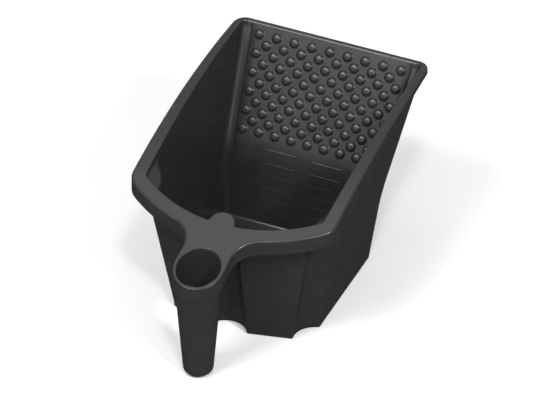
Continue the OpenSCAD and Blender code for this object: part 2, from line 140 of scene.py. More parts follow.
def face_y(z):
    z = np.asarray(z, float)
    low = foot_y + z * math.tan(steep)
    high = well_len - (rim_back_h - z) * math.tan(ramp)
    return np.where(z <= bend_z0, low, np.where(z >= bend_z1, high,
                                                bend_cy - bend_r * np.cos(face_lean(z))))


print("ramp leans", round(math.degrees(ramp), 2), "degrees, and starts at height", round(bend_z1, 1))

# %% [markdown]
# ## Plan curves
# The rim is drawn in plan as two closed loops: its inner edge, with the thumb tab, and its outer
# edge, which runs out round the neck and the collar of the handle. Each is drawn for the right half
# from the front to the back, mirrored, and spaced out evenly so that every ring swept from it has
# the same points. Rounding a corner is a matter of averaging the curve over a short stretch.

# %% Tools for plan curves
def polar(cx, cy, r, a0, a1, n):
    a = np.linspace(a0, a1, n)
    return np.stack([cx + r * np.sin(a), cy - r * np.cos(a)], -1)


def lengths(path):
    return np.concatenate([[0], np.cumsum(np.linalg.norm(np.diff(path, axis=0), axis=1))])


def along(path, at):
    s = lengths(path)
    return np.stack([np.interp(at, s, path[:, k]) for k in range(path.shape[1])], -1)


def spaced(path, step):
    s = lengths(path)
    return along(path, np.linspace(0, s[-1], int(round(s[-1] / step)) + 1))


def mirrored_loop(half):
    left = half[-2:0:-1] * [-1, 1]
    return np.concatenate([half, left])


# %% The way out of a loop, and rounding by averaging
def outward(loop):
    d = np.roll(loop, -1, 0) - np.roll(loop, 1, 0)
    d /= np.linalg.norm(d, axis=1)[:, None]
    return np.stack([d[:, 1], -d[:, 0]], -1)


def soften(loop, reach):
    s = lengths(np.concatenate([loop, loop[:1]]))
    total = s[-1]
    wide = np.concatenate([loop, loop, loop, loop[:1]])
    ss = np.concatenate([s[:-1] - total, s[:-1], s[:-1] + total, [2 * total]])
    mid = (wide[1:] + wide[:-1]) / 2 * np.diff(ss)[:, None]
    area = np.concatenate([[[0, 0]], np.cumsum(mid, 0)])
    r = np.broadcast_to(np.asarray(reach, float), (len(loop),))
    at = lambda q: np.stack([np.interp(q, ss, area[:, k]) for k in (0, 1)], -1)
    return (at(s[:-1] + r) - at(s[:-1] - r)) / (2 * r)[:, None]


# %% The rim's inner and outer loops
bow, band_front, band_side_back, band_back = 24.0, 11.6, 6.4, 4.2
bow_r = (inner_half_w ** 2 + bow ** 2) / (2 * bow)
bow_y = bow_r - bow
front_corner_r, back_corner_x, tab_r, neck_fillet = 3.0, 5.0, 10.7, 22.0
back_corner_y = back_corner_x / math.cos(ramp)
corner_cx = inner_half_w - front_corner_r
corner_cy = bow_y - math.sqrt((bow_r - front_corner_r) ** 2 - corner_cx ** 2)
corner_a = math.atan2(corner_cx, bow_y - corner_cy)
back_turn_y = well_len - back_corner_y
tab_a = math.asin(tab_r / bow_r)


def rail(width0, width1, n=60):
    y = np.linspace(corner_cy, back_turn_y, n)
    return np.stack([half_in(rim_z(y)) + np.linspace(width0, width1, n), y], -1)


def back_turn(width0, width1, n=16):
    a = np.linspace(0, math.pi / 2, n)
    w = np.linspace(width0, width1, n)
    x = half_in(rim_z(back_turn_y)) - back_corner_x + (back_corner_x + w) * np.cos(a)
    return np.stack([x, back_turn_y + (back_corner_y + w) * np.sin(a)], -1)


# %% Join the curves into two loops
bow_from = lambda a: np.concatenate([
    polar(0, bow_y, bow_r, a, corner_a, 60),
    polar(corner_cx, corner_cy, front_corner_r, corner_a, math.pi / 2, 10)[1:],
    rail(0, 0)[1:], back_turn(0, 0)[1:], [[0, well_len]]])
tab = np.stack([bow_r * np.sin(tab_a * np.sin(np.linspace(0, math.pi / 2, 24))),
                bow_y - bow_r * np.cos(tab_a * np.sin(np.linspace(0, math.pi / 2, 24)))
                + tab_r * np.cos(np.linspace(0, math.pi / 2, 24))], -1)
inner_loop = soften(mirrored_loop(spaced(np.concatenate([tab, bow_from(tab_a)[1:]]), 1.3)), 1.0)
band_r = bow_r + band_front
fillet_x = collar_r + neck_fillet
fillet_y = bow_y - math.sqrt((band_r + neck_fillet) ** 2 - fillet_x ** 2)
neck_a = math.atan2(fillet_x, bow_y - fillet_y)
fillet = np.stack([fillet_x - neck_fillet * np.sin(np.linspace(math.pi / 2, neck_a, 24)),
                   fillet_y + neck_fillet * np.cos(np.linspace(math.pi / 2, neck_a, 24))], -1)
outer_half = np.concatenate([
    polar(0, -handle_reach, collar_r, 0, math.pi / 2, 40), fillet,
    polar(0, bow_y, band_r, neck_a, corner_a, 40)[1:],
    polar(corner_cx, corner_cy, front_corner_r + band_front, corner_a, math.pi / 2, 24)[1:],
    rail(band_front, band_side_back)[1:], back_turn(band_side_back, band_back)[1:],
    [[0, well_len + band_back]]])
outer_loop = soften(mirrored_loop(spaced(outer_half, 1.3)), 1.0)
print("inner loop", len(inner_loop), "points, outer loop", len(outer_loop), "points")

# %% [markdown]
# ## A mesh out of rings
# Each piece is built as rings of points that are joined with quads, and flat places between loops
# are filled with a constrained Delaunay triangulation. `Skin` collects both, merges doubles, turns
# the faces outwards and moves the result from the drawing's millimetres into the frame's metres.

# %% The mesh collector
class Skin:
    def __init__(self):
        self.points, self.faces = [], []

    def rings(self, rings, closed=True, wrap=False):
        n, first = len(rings[0]), len(self.points)
        for ring in rings:
            self.points.extend(map(tuple, ring))
        pairs = [(k, k + 1) for k in range(len(rings) - 1)] + ([(len(rings) - 1, 0)] if wrap else [])
        for a, b in pairs:
            for i in range(n if closed else n - 1):
                j = (i + 1) % n
                self.faces.append((first + a * n + i, first + a * n + j,
                                   first + b * n + j, first + b * n + i))

    def fill(self, boundary, holes):
        """Fills the plan between a boundary ring and the rings of its holes."""
        loops = [boundary] + holes
        flat = np.concatenate([loop[:, :2] for loop in loops])
        edges, at = [], 0
        for loop in loops:
            n = len(loop)
            edges += [(at + i, at + (i + 1) % n) for i in range(n)]
            at += n
        verts, _, faces, _, _, _ = delaunay_2d_cdt([tuple(p) for p in flat], edges, [], 0, 1e-7)
        first = len(self.points)
        heights = np.concatenate(loops)[:, 2]
        for v in verts:
            nearest = np.argmin(((flat - (v.x, v.y)) ** 2).sum(1))
            self.points.append((v.x, v.y, float(heights[nearest])))
        for f in faces:
            c = np.mean([(verts[i].x, verts[i].y) for i in f], 0)
            if inside(c, boundary) and not any(inside(c, h) for h in holes):
                self.faces.append(tuple(first + i for i in f))

    def cap(self, ring):
        """One flat face over a whole ring."""
        first = len(self.points)
        self.points.extend(map(tuple, ring))
        self.faces.append(tuple(range(first, first + len(ring))))

    def make(self, name, crease=38):
        mesh = bpy.data.meshes.new(name)
        points = np.array(self.points, float)
        points[:, 1] += centre_y
        mesh.from_pydata((points / 1000).tolist(), [], self.faces)
        obj = bpy.data.objects.new(name, mesh)
        bpy.context.scene.collection.objects.link(obj)
        return tidy(obj, crease)


# %% What belongs inside a loop, and the last clean-up
def inside(p, loop):
    x, y = loop[:, 0], loop[:, 1]
    x2, y2 = np.roll(x, -1), np.roll(y, -1)
    cross = (y > p[1]) != (y2 > p[1])
    with np.errstate(divide="ignore", invalid="ignore"):
        at = x + (p[1] - y) * (x2 - x) / (y2 - y)
    return bool(np.count_nonzero(cross & (p[0] < at)) % 2)


def tidy(obj, crease):
    bm = bmesh.new()
    bm.from_mesh(obj.data)
    bmesh.ops.remove_doubles(bm, verts=bm.verts, dist=2e-6)
    bmesh.ops.dissolve_degenerate(bm, dist=1e-7, edges=bm.edges)
    bmesh.ops.recalc_face_normals(bm, faces=bm.faces)
    for f in bm.faces:
        f.smooth = len(f.verts) < 9  # a flat cap keeps its own plain normal
    for e in bm.edges:
        e.smooth = len(e.link_faces) != 2 or e.calc_face_angle(0) < math.radians(crease)
    open_edges = sum(1 for e in bm.edges if len(e.link_faces) != 2)
    volume = bm.calc_volume(signed=True)
    bm.to_mesh(obj.data)
    bm.free()
    print(obj.name, len(obj.data.polygons), "faces,", open_edges, "open edges,",
          round(volume * 1e6, 1), "cm3")
    return obj


# %% [markdown]
# ## Rim, skirt and neck
# On the real tray the rim is a broad flat band whose outer edge turns down into a skirt, which makes
# the thin plastic stiff. The band widens into the neck, and ends as the collar of the handle.
# The skirt is deepest round the front and runs out along the sides. A plane with a Solidify and a
# Bevel would have the same edge everywhere, so a section is swept round each loop instead: drops
# below the band's top, and steps in from the edge, either of which may vary along the loop.

# %% Sweep the rim
def swept(loop, normal, section):
    """Rings for a section of (step outwards, drop) pairs, either of which may vary along the loop."""
    rings = []
    for step, drop in section:
        p = loop + normal * np.broadcast_to(np.asarray(step, float), (len(loop),))[:, None]
        rings.append(np.column_stack([p, rim_z(p[:, 1]) - drop]))
    return rings


def rounded(p0, p1, p2, n=5):
    """Points on a smooth turn from p0 to p2 around p1."""
    out = []
    for t in np.linspace(0, 1, n + 1):
        out.append(tuple((1 - t) ** 2 * np.asarray(a, dtype=object) + 2 * t * (1 - t) *
                         np.asarray(b, dtype=object) + t * t * np.asarray(c, dtype=object)
                         for a, b, c in zip(p0, p1, p2)))
    return out


rim = Skin()
out_n, in_n = outward(outer_loop), -outward(inner_loop)
edge_r = 0.8 + 1.1 * np.clip((outer_loop[:, 1] + 62) / 14, 0, 1)
lobe_setback, flute_len = 0.3, 22.0
corner_y = lobe_setback + flute_len  # where the front wall's flute ends and the flat side begins
back_share = np.clip((outer_loop[:, 1] - corner_y) / (back_turn_y - corner_y), 0, 1)
hang = skirt_h - (skirt_h - skirt_back_h) * back_share
thick = wall - 0.9 * np.clip((-outer_loop[:, 1] - 66) / 14, 0, 1)
outer_section = ([(-edge_r - 0.25, 0.0)] + rounded((-edge_r, 0.0), (0.0, 0.0), (0.0, edge_r))
                 + [(0.0, 2.4 + (hang - 3.3) * share) for share in np.linspace(0, 1, 5)]
                 + rounded((0.0, hang - 0.6), (0.0, hang), (-0.6, hang), 4)
                 + rounded((-thick + 0.6, hang), (-thick, hang), (-thick, hang - 0.6), 4)
                 + [(-thick, rim_t + (hang - 0.6 - rim_t) * share) for share in (0.6, 0.2)]
                 + [(-thick - 0.3, rim_t)])
outer_rings = swept(outer_loop, out_n, outer_section)
rim.rings(outer_rings)
slope = side_lean * in_n[:, 0] ** 2 + math.tan(ramp) * np.clip(-in_n[:, 1], 0, 1) ** 2
on_tab = (np.abs(inner_loop[:, 0]) < tab_r + 1.5) & (inner_loop[:, 1] < 0)
hidden = np.where(on_tab, 0.0, 0.45)
inner_section = ([(-1.25, 0.0)] + rounded((-0.95, 0.0), (0.0, 0.0), (slope * 0.95, 0.95))
                 + [(slope * 1.2, 1.2), (slope * 1.25 - hidden, 1.25), (slope * rim_t - hidden, rim_t)])
inner_rings = swept(inner_loop, in_n, inner_section)
rim.rings(inner_rings)

# %% The lip of the handle's mouth, and the flat of the band
tube_end_r, tube_taper, tube_lift, tube_round = 11.9, 0.079, 1.5, 4.0
tube_out = lambda z: tube_end_r + tube_taper * (z - tube_lift)
tube_in = lambda z: tube_out(z) - wall
turn = np.linspace(0, 2 * math.pi, 97)[:-1]
around = np.stack([np.cos(turn), np.sin(turn)], -1)
bore = tube_in(rim_z(-tube_reach + 17.5 * around[:, 1]))
hole_loop = np.array([0, -tube_reach]) + around * bore[:, None]
lip = 1.0 - 0.4 * np.clip(-around[:, 1], 0, 1) ** 2
lip_section = ([(lip, 0.0), (lip * 0.8, 0.0), (lip * 0.68, -0.22), (lip * 0.45, -0.36),
                (lip * 0.3, -0.36), (0.08, -0.2), (0.0, 0.1), (0.0, 1.4), (0.12, 1.45), (0.12, rim_t)])
hole_rings = swept(hole_loop, around, lip_section)
rim.rings(hole_rings)
rim.fill(outer_rings[0], [inner_rings[0], hole_rings[0]])
rim.fill(outer_rings[-1], [inner_rings[-1], hole_rings[-1]])
rim_piece = rim.make("rim_and_skirt")

# %% [markdown]
# ## Handle
# The handle is a hollow tapered tube that hangs from the collar, open at the top so that a brush or
# a roller can be stood in it, and closed by a rounded end. A Screw modifier would spin its section,
# but its top and its collar follow the sloping plate, so each ring takes its own height.

# %% Turn the handle
handle = Skin()


def plate_ring(radius, drop, axis=handle_reach):
    r = np.broadcast_to(np.asarray(radius, float), (len(around),))
    p = np.array([0, -axis]) + around * r[:, None]
    return np.column_stack([p, rim_z(p[:, 1]) - drop])


def level_ring(radius, z):
    p = np.array([0, -tube_reach]) + around * radius
    return np.column_stack([p, np.full(len(p), z)])


def bore_ring(drop):
    ring = plate_ring(bore, drop, tube_reach)
    r = tube_in(ring[:, 2])
    return np.column_stack([np.array([0, -tube_reach]) + around * r[:, None], ring[:, 2]])


def tube_ring(drop):
    z = rim_z(-tube_reach + 18.7 * around[:, 1]) - drop
    return np.column_stack([np.array([0, -tube_reach]) + around * tube_out(z)[:, None], z])


# %% Stack the handle's rings
cap_top = tube_lift + tube_round + wall
foot = rounded((tube_end_r - tube_round, tube_lift), (tube_end_r, tube_lift),
               (tube_out(tube_lift + tube_round), tube_lift + tube_round), 8)
collar_drop = skirt_h - 0.25
rings = ([plate_ring(collar_r - 0.3, 1.9), plate_ring(bore + 0.2, 1.4, tube_reach), bore_ring(1.38)]
         + [bore_ring(d) for d in (4, 9)]
         + [level_ring(tube_in(z), z) for z in np.linspace(78, cap_top + 1, 22)]
         + [level_ring(tube_in(cap_top) - 2.0, cap_top - 2.6), level_ring(3, cap_top - 3.2),
            level_ring(0.0, cap_top - 3.2)])
handle.rings(rings)
outside = ([level_ring(0.0, tube_lift), level_ring(4, tube_lift)]
           + [level_ring(r, z) for r, z in foot]
           + [level_ring(tube_out(z), z) for z in np.linspace(9, 74, 24)]
           + [tube_ring(collar_drop + 0.6)]
           + [tube_ring(collar_drop + 0.15),
              plate_ring(tube_out(rim_z(-tube_reach) - skirt_h) + 0.35, collar_drop, tube_reach),
              plate_ring(collar_r - 0.3, collar_drop), plate_ring(collar_r - 0.3, 1.9)])
handle.rings(outside)
handle_piece = handle.make("hollow_handle")

# %% [markdown]
# ## The well
# The well is the deep drawn part: a flat floor, front lobes on both sides of the finger recess,
# fluted corners, flat sides, and the back wall with the raised ramp between its two gutters. A box
# with bevels would lose the flutes, so the wall is a grid of columns. Each column runs from the
# floor's fillet up to the rim, and its plan place depends on its height through the rules above.

# %% Plan line of the front wall at one height
recess_half_w, recess_depth, lobe_reach, lobe_half_w = 15.7, 9.9, 8.2, 51.5
flute_hollow = 5.5
lobe_in_lean, lobe_out_lean = np.array([-0.03, -0.13]), np.array([0.16, -0.105])


def front_line(z, parts=(40, 40, 60)):
    """Outer plan line of the right half of the front wall, and where its parts end."""
    inner = np.array([recess_half_w, -lobe_reach]) + lobe_in_lean * z
    outer = np.array([lobe_half_w, lobe_setback]) + lobe_out_lean * z
    corner = np.array([float(half_out(z)), corner_y])
    rr = (inner[0] ** 2 + recess_depth ** 2) / (2 * recess_depth)
    a = np.linspace(0, math.asin(inner[0] / rr), parts[0])
    recess = np.stack([rr * np.sin(a), inner[1] + recess_depth - rr + rr * np.cos(a)], -1)
    lobe = inner + (outer - inner) * np.linspace(0, 1, parts[1])[1:, None]
    d = corner - outer
    size = np.linalg.norm(d)
    r = ((size / 2) ** 2 + flute_hollow ** 2) / (2 * flute_hollow)
    side = np.array([-d[1], d[0]]) / size
    c = (outer + corner) / 2 + side * (flute_hollow - r)
    a0 = math.atan2(*(outer - c)[::-1])
    b = a0 - 2 * math.asin(size / 2 / r) * np.linspace(0, 1, parts[2])[1:]
    return recess, lobe, c + r * np.stack([np.cos(b), np.sin(b)], -1)


# %% How many columns each stretch has, and how its line is rounded
counts = {"recess": 16, "lobe": 18, "flute": 26, "side": 30, "corner": 9, "gutter": 4, "step": 4,
          "ramp": 14}


def stretch(path, s0, s1, n):
    return along(path, np.linspace(s0, s1, n + 1)[:-1])


past_corner = 3.5


def eased_line(line, gap, reach):
    """The line averaged over a short stretch, which rounds its corners."""
    width = int(round(reach / gap))
    kernel = np.hanning(2 * width + 3)
    kernel /= kernel.sum()
    pad = len(kernel) // 2
    return np.stack([np.convolve(np.pad(line[:, k], pad, mode="reflect", reflect_type="odd"),
                                 kernel, "valid") for k in (0, 1)], -1)


def front_columns(z):
    """Inner and outer front columns at height z, from the centre round to the side wall."""
    recess, lobe, flute = front_line(z)
    half = np.concatenate([recess, lobe, flute])
    marks = lengths(half)[[len(recess) - 1, len(recess) + len(lobe) - 1, len(half) - 1]]
    along_side = np.array([[half_out(z), corner_y + k] for k in range(1, 15)])
    whole = np.concatenate([half[25:0:-1] * [-1, 1], half, along_side])
    zero, total = lengths(whole)[25], lengths(whole)[-1]
    fine = np.linspace(0, total, 700)
    dense = along(whole, fine)
    outer = eased_line(dense, fine[1], 2.2)
    broad = eased_line(dense, fine[1], 5.0)
    t = np.gradient(broad, axis=0)
    t /= np.linalg.norm(t, axis=1)[:, None]
    inner = broad + wall * np.stack([-t[:, 1], t[:, 0]], -1)
    at = zero + np.concatenate([
        np.linspace(0, marks[0], counts["recess"] + 1)[:-1],
        np.linspace(marks[0], marks[1], counts["lobe"] + 1)[:-1],
        np.linspace(marks[1], marks[2] + past_corner, counts["flute"] + 1)[:-1]])
    both = [np.stack([np.interp(at, fine, line[:, k]) for k in (0, 1)], -1)
            for line in (inner, outer)]
    both[0][0, 0] = both[1][0, 0] = 0.0
    return both


# %% The same columns where they reach the rim's inner edge
plain = spaced(bow_from(0.0), 0.5)
plain_s = lengths(plain)
mid_shoulder = rim_front_h - 2 * skirt_h
s_recess = bow_r * math.asin((recess_half_w + lobe_in_lean[0] * mid_shoulder) / bow_r)
s_lobe = bow_r * math.asin((lobe_half_w + lobe_out_lean[0] * mid_shoulder) / bow_r)
on_side = plain[:, 0] > 74
s_corner = float(np.interp(corner_y + past_corner, plain[on_side, 1], plain_s[on_side]))
rim_columns = np.concatenate([stretch(plain, 0, s_recess, counts["recess"]),
                              stretch(plain, s_recess, s_lobe, counts["lobe"]),
                              stretch(plain, s_lobe, s_corner, counts["flute"])])
rim_columns_z = rim_z(rim_columns[:, 1]) - 1.2
rim_columns_n = np.gradient(rim_columns, axis=0)
rim_columns_n /= np.linalg.norm(rim_columns_n, axis=1)[:, None]
rim_columns_n = np.stack([rim_columns_n[:, 1], -rim_columns_n[:, 0]], -1)
print("front columns", len(rim_columns), "corner at", round(s_corner, 1))

# %% [markdown]
# Above the lobes the wall flares to meet the rim, under cover of the skirt. The back columns carry the
# raised ramp: beside it the gutter lies a little deeper, and a fillet leads it into the side wall.

# %% Columns of the whole right half at one level
gutter_w, gutter_step, corner_r = 8.2, 1.2, 5.0
fillet_r = 3.4
base_z = floor_t + fillet_r


def ease(t):
    t = np.clip(t, 0, 1)
    return t * t * (3 - 2 * t)


def half_ring(t):
    """Inner points of the right half at level t, from 0 at the top of the floor's fillet to 1,
    and the outer points of its front part."""
    pts, front_out = [], []
    zs = base_z + (rim_columns_z - base_z) * t
    sh = rim_columns_z + 1.2 - skirt_h
    cache = {}
    for i, z in enumerate(zs):
        key = round(float(min(z, sh[i])), 3)
        if key not in cache:
            cache[key] = front_columns(key)
        k = ease((z - sh[i]) / (rim_columns_z[i] - 1.0 - sh[i]))
        p, q = (line[i] for line in cache[key])
        p = p + (rim_columns[i] - p) * k
        q = q + (rim_columns[i] + rim_columns_n[i] * wall - q) * k
        pts.append((p[0], p[1], z))
        front_out.append((q[0], q[1], z))
    top_b = float(rim_z(well_len)) - 1.2
    zb = base_z + (top_b - base_z) * t
    step = gutter_step * ease((zb - bend_z0) / (bend_z1 - bend_z0)) * ease((top_b - zb) / 2.5 + 0.15)
    a = float(face_lean(zb))
    deep = float(face_y(zb)) + step / math.cos(a)
    y_end = deep - corner_r / math.cos(a)
    n, y0 = counts["side"], corner_y + past_corner
    y_end_top = float(face_y(top_b)) - corner_r / math.cos(ramp)
    for u in np.linspace(0, 1, n + 1)[:-1]:
        y_top = y0 + (y_end_top - y0) * u
        z = base_z + (float(rim_z(y_top)) - 1.2 - base_z) * t
        pts.append((float(half_in(z)), y0 + (y_end - y0) * u, z))
    x0 = float(half_in(zb))
    for b in np.linspace(0, math.pi / 2, counts["corner"] + 1)[:-1]:
        pts.append((x0 - corner_r + corner_r * math.cos(b),
                    y_end + corner_r / math.cos(a) * math.sin(b), zb))
    edge = gutter_w - 0.7
    for x in np.linspace(corner_r, edge, counts["gutter"] + 1)[:-1]:
        pts.append((x0 - x, deep, zb))
    for v in np.linspace(0, 1, counts["step"] + 1)[:-1]:
        pts.append((x0 - edge - 1.4 * v, deep - step / math.cos(a) * float(ease(v)), zb))
    face = float(face_y(zb))
    for v in np.linspace(0, 1, counts["ramp"] + 1):
        pts.append(((x0 - edge - 1.4) * (1 - v), face, zb))
    return np.array(pts), np.array(front_out)


# %% Both halves, and the way out of a ring
def whole_ring(half):
    return np.concatenate([half, half[-2:0:-1] * [-1, 1, 1]])


def plan_normals(ring):
    n = outward(ring[:, :2])
    return np.column_stack([n, np.zeros(len(n))])


# %% A fillet that never outgrows its corner
def fillet_r_round(ring):
    """The fillet's reach at each point: less than the corner's own radius, so no ring crosses itself."""
    ahead = np.roll(ring[:, :2], -1, 0) - ring[:, :2]
    size = np.linalg.norm(ahead, axis=1)
    way = np.arctan2(ahead[:, 1], ahead[:, 0])
    bend = (way - np.roll(way, 1) + math.pi) % (2 * math.pi) - math.pi
    bend /= (size + np.roll(size, 1)) / 2
    reach = np.clip(0.5 / np.maximum(bend, 0.01), 0.1, fillet_r)
    near = [np.roll(reach, k) + 0.4 * np.linalg.norm(ring[:, :2] - np.roll(ring[:, :2], k, 0), axis=1)
            for k in range(-12, 13)]
    return np.min(near, axis=0)


# %% Wall, floor and underside
levels = np.concatenate([np.linspace(0, 0.9, 44), np.linspace(0.9, 1, 12)[1:]])
halves = [half_ring(t) for t in levels]
inner_walls = [whole_ring(half) for half, _ in halves]
n0 = plan_normals(inner_walls[0])
fillets = []
fillet_reach = fillet_r_round(inner_walls[0])[:, None]
for a in np.linspace(0, math.pi / 2, 8)[:-1]:  # from the floor up to the wall
    ring = inner_walls[0] - n0 * fillet_reach * (1 - math.sin(a))
    ring[:, 2] = floor_t + fillet_r * (1 - math.cos(a))
    fillets.append(ring)
inner_rings_w = fillets + inner_walls
outer_walls = []
for ring, (_, front_out) in zip(inner_walls, halves):
    n = plan_normals(ring)
    back = np.clip(n[:, 1], 0, 1) ** 2
    lean = face_lean(ring[:, 2])
    grow = wall * (1 + back * (1 / np.cos(lean) - 1))
    out = ring + n * grow[:, None]
    out[:len(front_out)] = front_out
    out[1 - len(front_out):] = front_out[:0:-1] * [-1, 1, 1]
    outer_walls.append(out)
foot_r = 1.1
drop_rings = []
n1 = plan_normals(outer_walls[0])
for z in np.linspace(base_z, foot_r, 4)[1:]:
    ring = outer_walls[0].copy()
    ring[:, :2] -= n1[:, :2] * (side_lean * (base_z - z)) * (np.abs(n1[:, :1]) * 0.5 + 0.5)
    ring[:, 2] = z
    drop_rings.append(ring)
last = drop_rings[-1]
for a in np.linspace(0, math.pi / 2, 6)[1:]:
    ring = last - n1 * foot_r * (1 - math.cos(a))
    ring[:, 2] = foot_r * (1 - math.sin(a))
    drop_rings.append(ring)
# %% Join the well's rings
well = Skin()
well.rings(inner_rings_w + outer_walls[::-1] + drop_rings)
well.cap(inner_rings_w[0])
well.cap(drop_rings[-1])
well_piece = well.make("well")

# %% [markdown]
# ## Working with nodes
# Both the patterns and the plastic are node trees. `Graph.node` makes any node: its settings first, then
# its sockets, which take a value or a link. `Wire` wraps a socket so that ordinary arithmetic writes
# Math nodes: `1 - mask` is one node, and numbers alone stay in Python.

# %% Graph and Wire
class Graph:
    def __init__(self, tree):
        self.tree = tree
        tree.nodes.clear()

    def node(self, kind, settings=None, sockets=None):
        made = self.tree.nodes.new(kind)
        for key, value in (settings or {}).items():
            if key == "stops":
                ramp_stops = made.color_ramp.elements
                while len(ramp_stops) < len(value):
                    ramp_stops.new(0.5)
                for element, (at, colour) in zip(ramp_stops, value):
                    element.position, element.color = at, (*colour, 1)
            else:
                setattr(made, key, value)
        for key, value in (sockets or {}).items():
            if isinstance(value, Wire):
                self.tree.links.new(value.socket, made.inputs[key])
            else:
                made.inputs[key].default_value = value
        return made

    def out(self, kind, settings=None, sockets=None, output=0):
        return Wire(self, self.node(kind, settings, sockets).outputs[output])


# %% Arithmetic on sockets
class Wire:
    def __init__(self, graph, socket):
        self.graph, self.socket = graph, socket

    def math(self, operation, *others):
        return self.graph.out("ShaderNodeMath", {"operation": operation},
                              dict(enumerate((self, *others))))

    def flipped(self, operation, other):
        return self.graph.out("ShaderNodeMath", {"operation": operation}, {0: other, 1: self})

    def __add__(self, other):
        return self.math("ADD", other)

    def __sub__(self, other):
        return self.math("SUBTRACT", other)

    def __mul__(self, other):
        return self.math("MULTIPLY", other)

    def __truediv__(self, other):
        return self.math("DIVIDE", other)

    def __mod__(self, other):
        return self.math("MODULO", other)

    def __gt__(self, other):
        return self.math("GREATER_THAN", other)

    def __rsub__(self, other):
        return self.flipped("SUBTRACT", other)

    __radd__, __rmul__ = __add__, __mul__


# %% [markdown]
# ## The plastic
# The tray is moulded in charcoal polypropylene: nearly black, satin, with the fine even grain of a
# spark-eroded mould. Three things vary over it. A cloudy gloss comes from how the melt met the
# mould, faint scuffs come from handling, and a fine grain breaks up the highlights. The grain is a
# bump, the others drive colour and roughness, all on Object coordinates so that they stay put.

# %% Make the plastic
def plastic(name, colour, pale, gloss, grain=0.1, scuffs=0.45):
    mat = bpy.data.materials.new(name)
    mat.use_nodes = True
    g = Graph(mat.node_tree)
    place = g.out("ShaderNodeTexCoord", output="Object")
    cloud = g.out("ShaderNodeTexNoise", None,
                  {"Vector": place, "Scale": 28.0, "Detail": 3.0, "Roughness": 0.5})
    fine = g.out("ShaderNodeTexNoise", None,
                 {"Vector": place, "Scale": 2600.0, "Detail": 2.0, "Roughness": 0.6})
    stretched = g.out("ShaderNodeMapping", None,
                      {"Vector": place, "Rotation": (0.3, 0.2, 0.5), "Scale": (40.0, 900.0, 300.0)})
    streak = g.out("ShaderNodeTexNoise", None, {"Vector": stretched, "Scale": 1.0, "Detail": 3.0})
    patch = g.out("ShaderNodeTexNoise", None, {"Vector": place, "Scale": 16.0, "Detail": 2.0})
    scuff = ((streak - 0.62) * 9.0).math("MINIMUM", 1.0).math("MAXIMUM", 0.0)
    worn = scuff * ((patch - 0.52) * 6.0).math("MINIMUM", 1.0).math("MAXIMUM", 0.0) * scuffs
    tone = (cloud - 0.5) * 0.5 + 0.4 + (fine - 0.5) * 0.25
    base = g.out("ShaderNodeMix", {"data_type": "RGBA"},
                 {"Factor": (tone + worn * 0.22).math("MINIMUM", 1.0), "A": (*colour, 1),
                  "B": (*pale, 1)}, output=2)
    rough = gloss + (cloud - 0.5) * 0.16 + worn * 0.14 + (fine - 0.5) * 0.08
    bump = g.out("ShaderNodeBump", None, {"Height": fine + worn * 0.6, "Strength": grain,
                                          "Distance": 0.0002})
    skin = g.out("ShaderNodeBsdfPrincipled", None,
                 {"Base Color": base, "Roughness": rough, "Normal": bump, "IOR": 1.45,
                  "Specular IOR Level": 0.5})
    g.node("ShaderNodeOutputMaterial", None, {"Surface": skin})
    return mat


charcoal = plastic("charcoal_plastic", (0.016, 0.0163, 0.0174), (0.031, 0.0315, 0.0336), 0.26)
print("plastic nodes:", len(charcoal.node_tree.nodes))

# %% [markdown]
# ## Ramp studs
# The studs squeeze the roller as it rolls down the ramp. They are low buttons, almost flat on top
# and steep at the edge, which is what puts a spark on their sides. They stand in rows of nine and
# eight, and the whole field narrows a little towards the well with the walls. A Geometry Nodes
# tree places them: a point for each place in a 9 by 11 grid, the odd rows shifted by half a
# step and cut short by one, and a dome instanced on every point.

# %% A small dome, turned from its section
def turned(name, section, sides):
    bm = bmesh.new()
    rings = []
    for r, z in section:
        if r < 1e-6:
            rings.append([bm.verts.new((0, 0, z / 1000))])
        else:
            rings.append([bm.verts.new((r / 1000 * math.cos(2 * math.pi * k / sides),
                                        r / 1000 * math.sin(2 * math.pi * k / sides), z / 1000))
                          for k in range(sides)])
    for a, b in zip(rings, rings[1:]):
        for k in range(sides):
            j = (k + 1) % sides
            quad = [a[k % len(a)], a[j % len(a)], b[j % len(b)], b[k % len(b)]]
            bm.faces.new(list(dict.fromkeys(quad)))
    bmesh.ops.recalc_face_normals(bm, faces=bm.faces)
    for f in bm.faces:
        f.smooth = True
    mesh = bpy.data.meshes.new(name)
    bm.to_mesh(mesh)
    bm.free()
    obj = bpy.data.objects.new(name, mesh)
    bpy.context.scene.collection.objects.link(obj)
    return obj


stud_r, stud_h = 4.15, 1.9
dome_rings = [(stud_r * u, stud_h * (1 - u ** 4.5)) for u in (0, 0.3, 0.5, 0.64, 0.75, 0.84, 0.91, 0.97)]
dome = turned("stud_dome", dome_rings + [(stud_r + 0.05, 0.1), (stud_r + 0.45, 0.0),
                                         (stud_r + 0.45, -0.5), (0, -0.5)], 28)
print("dome faces:", len(dome.data.polygons))


# %% Geometry Nodes helpers
def new_tree(name, inputs):
    tree = bpy.data.node_groups.new(name, "GeometryNodeTree")
    for title, kind in inputs:
        tree.interface.new_socket(title, in_out="INPUT", socket_type="NodeSocket" + kind)
    tree.interface.new_socket("Geometry", in_out="OUTPUT", socket_type="NodeSocketGeometry")
    g = Graph(tree)
    given = g.node("NodeGroupInput")
    return tree, g, {title: Wire(g, given.outputs[title]) for title, _ in inputs}


def finish_tree(g, geometry, material):
    real = g.out("GeometryNodeRealizeInstances", None, {"Geometry": geometry})
    done = g.out("GeometryNodeSetMaterial", None, {"Geometry": real, "Material": material})
    g.node("NodeGroupOutput", None, {"Geometry": done})


